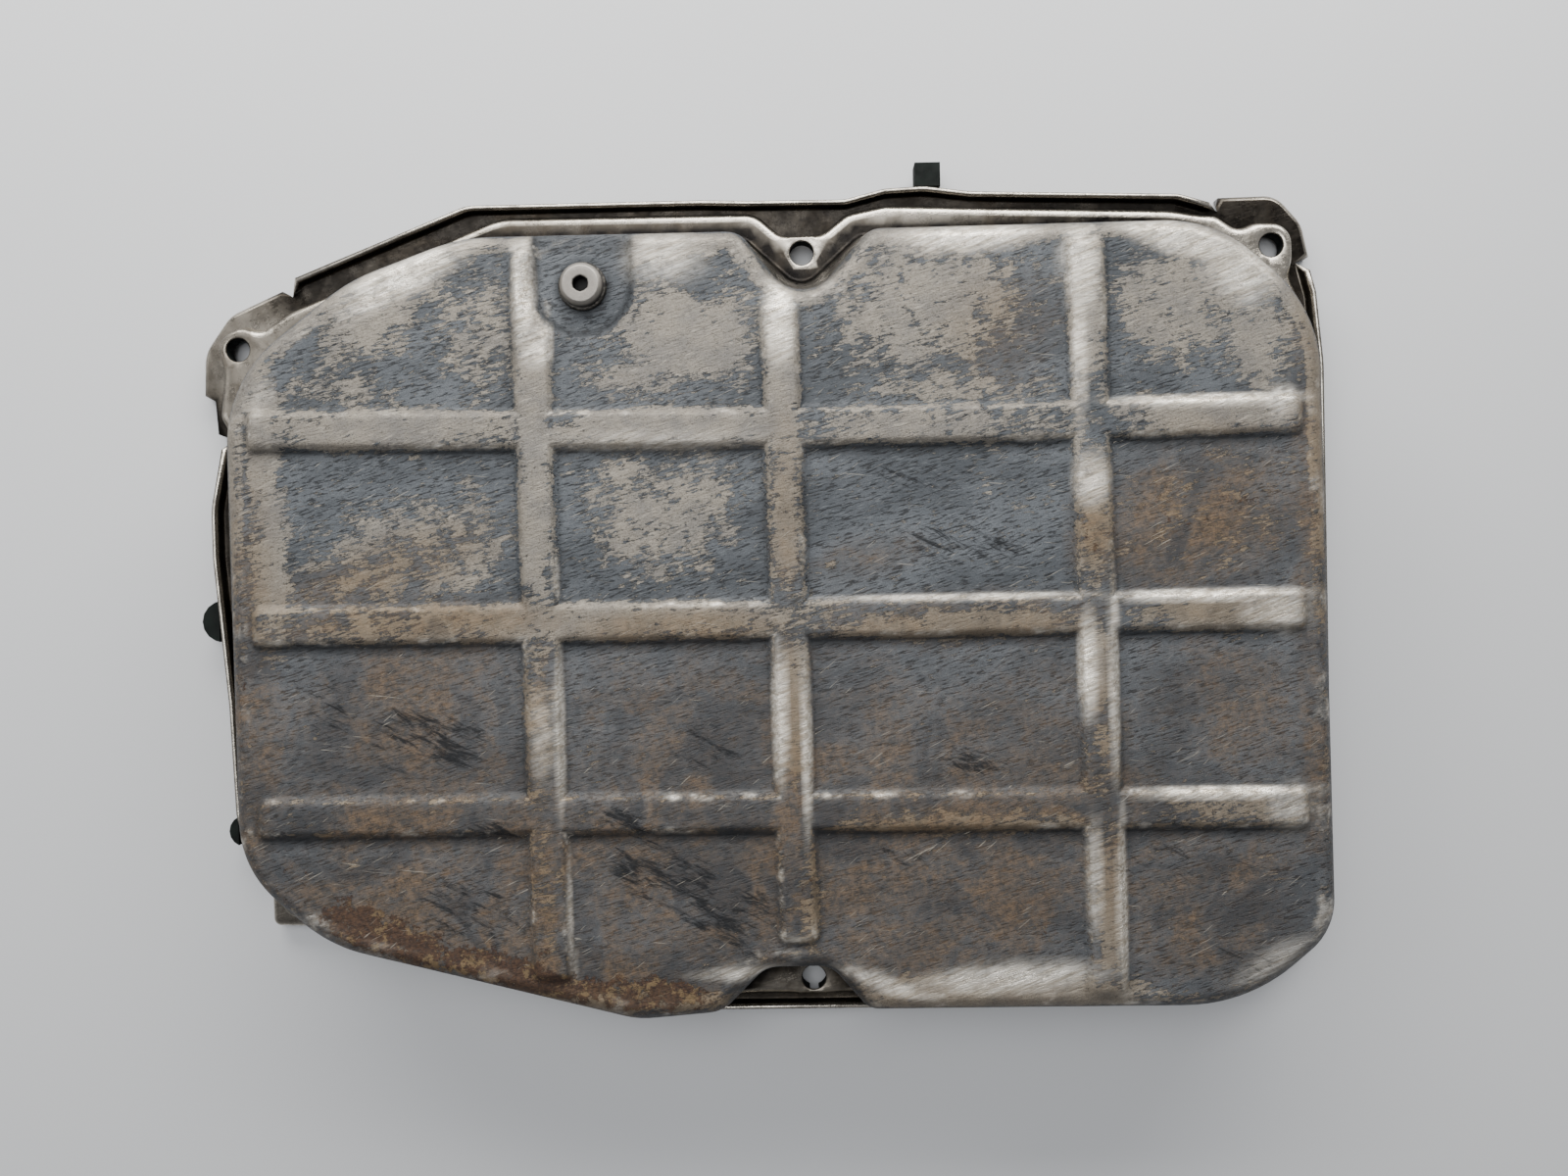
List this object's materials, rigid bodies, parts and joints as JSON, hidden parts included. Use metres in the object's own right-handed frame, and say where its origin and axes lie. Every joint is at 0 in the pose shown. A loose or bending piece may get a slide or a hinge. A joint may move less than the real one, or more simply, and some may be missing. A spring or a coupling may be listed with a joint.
{
  "type": "transmission oil pan",
  "caption": "Pressed-steel automatic gearbox oil pan with a ribbed bottom, notched sides and a turned-edge flange; holds the oil and drains it through a recessed screw plug.",
  "frame": {"origin": "bottom centre of the part's box, at the level of the turned-down rims that it lies on", "axes": "+X along the long sides, +Y towards the long side with the drain plug, +Z out of the ribbed bottom, away from the gearbox"},
  "size_m": [0.3986, 0.2992, 0.0547],
  "materials": {
    "pan_sheet": "dark blue-grey paint worn through to scuffed bare steel, with rust and oil stain",
    "gasket_rubber": "matt moulded rubber",
    "plug_steel": "dull zinc-plated steel",
    "seal_ring": "dull, dark with oil",
    "nut_steel": "oily bare steel",
    "magnet_ferrite": "dull ferrite with a little swarf"
  },
  "bodies": {
    "pan": {"pan_shell": "pan_sheet", "pan_gasket": "gasket_rubber", "drain_nut": "nut_steel"},
    "seal": {"drain_plug_seal": "seal_ring"},
    "plug": {"drain_plug": "plug_steel"},
    "magnet": {"pan_magnet": "magnet_ferrite"}
  },
  "joints": [
    {"name": "plug_lift", "type": "slide", "parent": "pan", "child": "seal", "axis": [0, 0, 1], "range_m": [0, 0.007]},
    {"name": "plug_turn", "type": "hinge", "parent": "seal", "child": "plug", "pos_m": [-0.05385, 0.09931, 0.04816], "axis": [0, 0, 1], "range_deg": [0, 2530]},
    {"name": "magnet_pull", "type": "slide", "parent": "pan", "child": "magnet", "axis": [0, 0, -1], "range_m": [0, 0.03]}
  ],
  "couplings": [
    {"joint": "plug_turn", "follows": "plug_lift", "rad_per_m": 6283.2}
  ]
}
